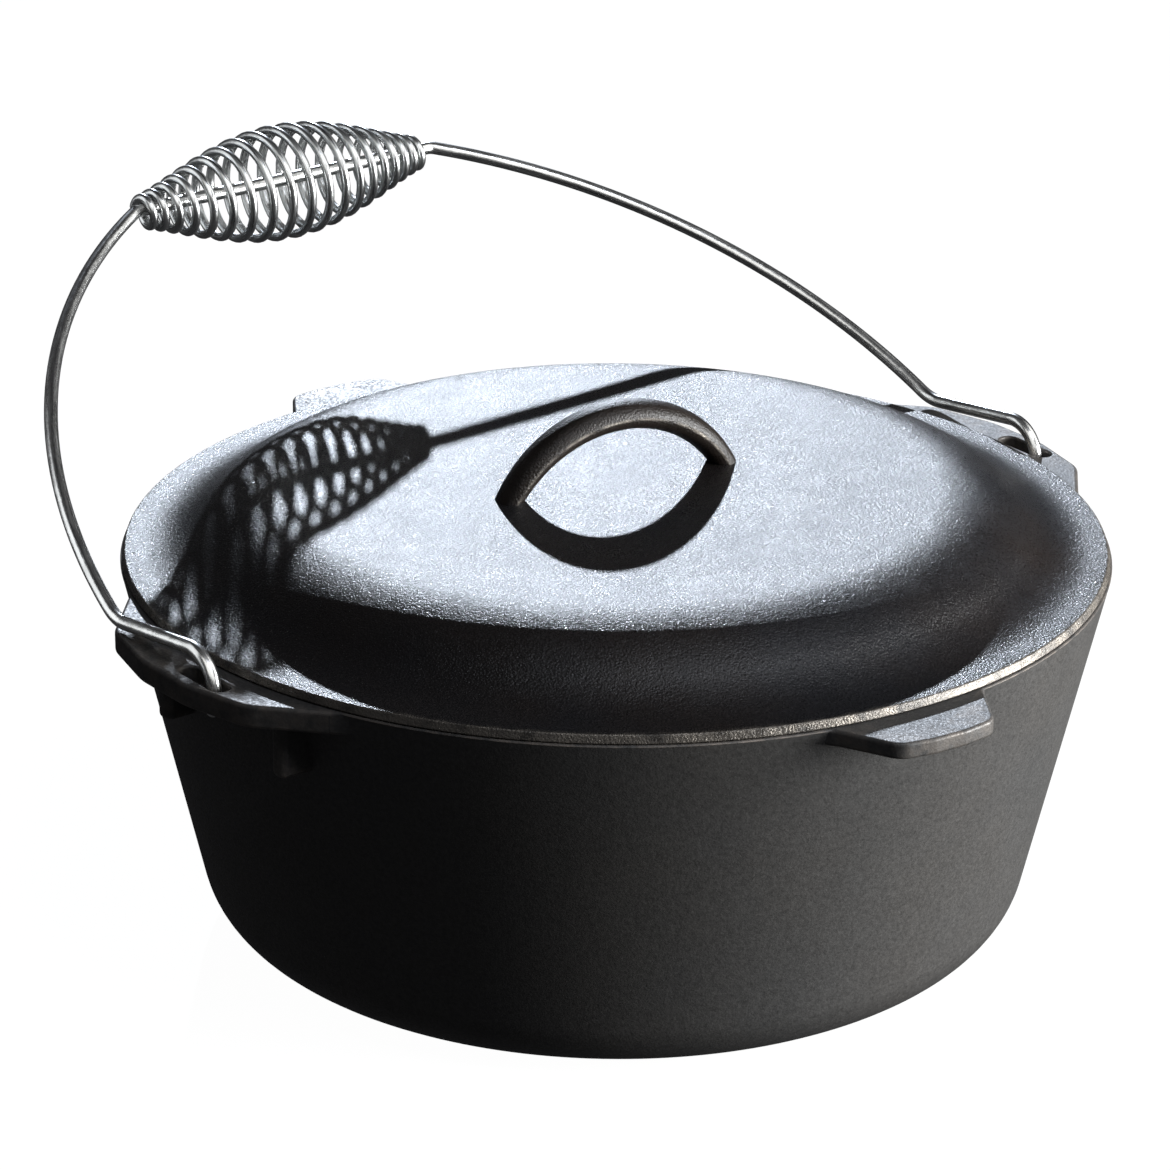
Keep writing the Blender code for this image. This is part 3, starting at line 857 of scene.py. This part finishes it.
def iron_roughness(graph, place, handle, grain, rough):
    """Patches of more and less sheen, with glints from single grains, and a duller handle."""
    glints = graph.spread(graph.noise(place, grain * 1.2, 2.0, 0.7), 0.32, 0.68, -0.13, 0.17)
    sheen = graph.spread(graph.noise(place, 55.0, 3.0), 0.3, 0.7, rough - 0.03, rough + 0.03)
    sheen = graph.maths("ADD", sheen, glints)
    return graph.maths("ADD", sheen, graph.maths("MULTIPLY", handle, HANDLE_DULLNESS))


def iron_material(name, dark, brown, grain, relief, wave, rough, worn):
    """Seasoned cast iron: pebbled, browner in broad patches, greyer where its edges are worn."""
    made = bpy.data.materials.new(name)
    graph = Graph(made)
    place = graph.add("ShaderNodeTexCoord").outputs["Object"]
    handle = graph.attribute("handle")
    colour = iron_colour(graph, place, handle, dark, brown, grain)
    edge = worn_share(graph, place)
    shader = graph.add("ShaderNodeBsdfPrincipled", {
        "Base Color": graph.blend(edge, colour, (*worn, 1)),
        "Metallic": graph.maths("MULTIPLY", edge, BARE_METAL),
        "Roughness": iron_roughness(graph, place, handle, grain, rough),
        "Normal": iron_normal(graph, place, grain, relief, wave),
        "Specular IOR Level": IRON_SPECULAR,
    })
    graph.surface(shader)
    return made


def steel_material(name, colour, rough, relief):
    """Drawn steel wire: streaks along its length, faint pits, and duller patches."""
    made = bpy.data.materials.new(name)
    graph = Graph(made)
    straight = graph.add("ShaderNodeAttribute", attribute_name="straight").outputs["Vector"]
    stretched = graph.add(
        "ShaderNodeMapping", {"Vector": straight, "Scale": (1.0, 1.0, STREAK_STRETCH)},
    ).outputs["Vector"]
    streaks = graph.noise(stretched, 1500.0, 3.0, 0.6)
    dull = graph.noise(straight, 90.0, 3.0)
    tone = graph.spread(graph.maths("ADD", streaks, dull), 0.7, 1.35)
    shade = [part * DULL_STEEL for part in colour]
    mixed = graph.blend(tone, (*shade, 1), (*colour, 1))
    roughness = graph.spread(streaks, 0.3, 0.7, rough - 0.06, rough + 0.08)
    ripples = graph.bump(graph.noise(straight, 260.0, 2.0), RIPPLE_DEPTH)
    normal = graph.bump(streaks, relief, ripples)
    shader = graph.add("ShaderNodeBsdfPrincipled", {
        "Base Color": mixed, "Roughness": roughness, "Normal": normal, "Metallic": 1.0,
    })
    graph.surface(shader)
    return made


def finish_piece(piece, body, node, material):
    """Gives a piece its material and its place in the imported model."""
    piece.data.materials.clear()
    piece.data.materials.append(material)
    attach(piece, body)
    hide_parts(node)


def make_floor():
    """A white floor that the castings neither mirror nor take light from."""
    mesh = bpy.data.meshes.new("studio_floor")
    half = FLOOR_SIZE / 2
    corners = [(-half, -half), (half, -half), (half, half), (-half, half)]
    mesh.from_pydata([(x, y, -FLOOR_DROP) for x, y in corners], [], [(0, 1, 2, 3)])
    floor = bpy.data.objects.new("studio_floor", mesh)
    bpy.context.scene.collection.objects.link(floor)
    made = bpy.data.materials.new("floor_white")
    graph = Graph(made)
    glow = graph.add("ShaderNodeEmission", {"Color": WHITE, "Strength": FLOOR_GLOW})
    matt = graph.add("ShaderNodeBsdfDiffuse", {"Color": FLOOR_MATT})
    mixed = graph.add(
        "ShaderNodeMixShader", {0: FLOOR_SHARE, 1: matt.outputs[0], 2: glow.outputs[0]},
    )
    graph.surface(mixed)
    mesh.materials.append(made)
    floor.visible_diffuse = False
    floor.visible_glossy = False


def make_world():
    """White where the camera sees it, dim where the object does."""
    world = bpy.data.worlds.new("studio")
    bpy.context.scene.world = world
    graph = Graph(world)
    seen = graph.add("ShaderNodeLightPath").outputs["Is Camera Ray"]
    dim = graph.add("ShaderNodeBackground", {"Color": (*WORLD_COLOUR, 1), "Strength": 1.0})
    white = graph.add("ShaderNodeBackground", {"Color": WHITE, "Strength": 1.0})
    mixed = graph.add("ShaderNodeMixShader", {0: seen, 1: dim.outputs[0], 2: white.outputs[0]})
    graph.add("ShaderNodeOutputWorld", {"Surface": mixed.outputs[0]})


def camera_ground(turn, elevation):
    """A direction given as seen from the camera: turn from its right, and up from the ground."""
    turn += CAMERA_TURN
    flat = math.cos(elevation)
    return Vector((flat * math.cos(turn), flat * math.sin(turn), math.sin(elevation)))


def make_key():
    """The low light from behind that throws the coil's shadow over the lid."""
    lamp = bpy.data.lights.new("key", "SUN")
    lamp.energy = KEY_POWER
    lamp.angle = KEY_ANGLE
    lamp.color = KEY_COLOUR
    placed = bpy.data.objects.new("key", lamp)
    bpy.context.scene.collection.objects.link(placed)
    towards = camera_ground(KEY_TURN, KEY_ELEVATION)
    placed.rotation_euler = towards.to_track_quat("Z", "Y").to_euler()


def make_softbox(name, turn, elevation, distance, size, power, colour, lit=None):
    """A soft light round the camera's aim. It lights only the collection lit, if there is one."""
    lamp = bpy.data.lights.new(name, "AREA")
    lamp.shape = "RECTANGLE"
    lamp.size, lamp.size_y = size
    lamp.energy = power
    lamp.color = colour
    placed = bpy.data.objects.new(name, lamp)
    bpy.context.scene.collection.objects.link(placed)
    towards = camera_ground(math.radians(turn), math.radians(elevation))
    placed.location = CAMERA_AIM + towards * distance
    placed.rotation_euler = towards.to_track_quat("Z", "Y").to_euler()
    placed.visible_camera = False
    if lit:
        placed.light_linking.receiver_collection = lit


def make_camera():
    """The camera, and its small tilt, pan and roll off its aim."""
    lens = bpy.data.cameras.new("camera")
    lens.lens = CAMERA_LENS
    lens.dof.use_dof = False
    camera = bpy.data.objects.new("camera", lens)
    bpy.context.scene.collection.objects.link(camera)
    back = camera_ground(-math.pi / 2, CAMERA_ELEVATION)
    aimed = back.to_track_quat("Z", "Y").to_matrix()
    tilt = Matrix.Rotation(CAMERA_TILT, 3, "X")
    pan = Matrix.Rotation(CAMERA_PAN, 3, "Y")
    roll = Matrix.Rotation(CAMERA_ROLL, 3, "Z")
    turned = (aimed @ tilt @ pan @ roll).to_4x4()
    camera.matrix_world = Matrix.Translation(CAMERA_AIM + back * CAMERA_DISTANCE) @ turned
    bpy.context.scene.camera = camera


def main():
    """The imported model, the camera, the four pieces and the studio."""
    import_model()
    bpy.context.scene.view_settings.view_transform = "Standard"
    make_camera()
    finish_piece(make_pot(), "pot", "pot", iron_material("pot_iron", **POT_IRON))
    finish_piece(make_lid(), "lid", "lid", iron_material("lid_iron", **LID_IRON))
    bail = make_bail()
    grip = make_grip()
    steel = steel_material("bail_steel", **BAIL_STEEL)
    coil_steel = steel_material("coil_steel", **COIL_STEEL)
    finish_piece(bail, "bail", "bail", steel)
    finish_piece(grip, "grip", "spiral_grip", coil_steel)
    wires = bpy.data.collections.new("wires")
    for wire in (bail, grip):
        wires.objects.link(wire)
    make_floor()
    make_world()
    make_key()
    for name, box in ROOM_BOXES.items():
        make_softbox(name, *box)
    for name, box in WIRE_BOXES.items():
        make_softbox(name, *box, wires)
    bpy.context.view_layer.update()


main()
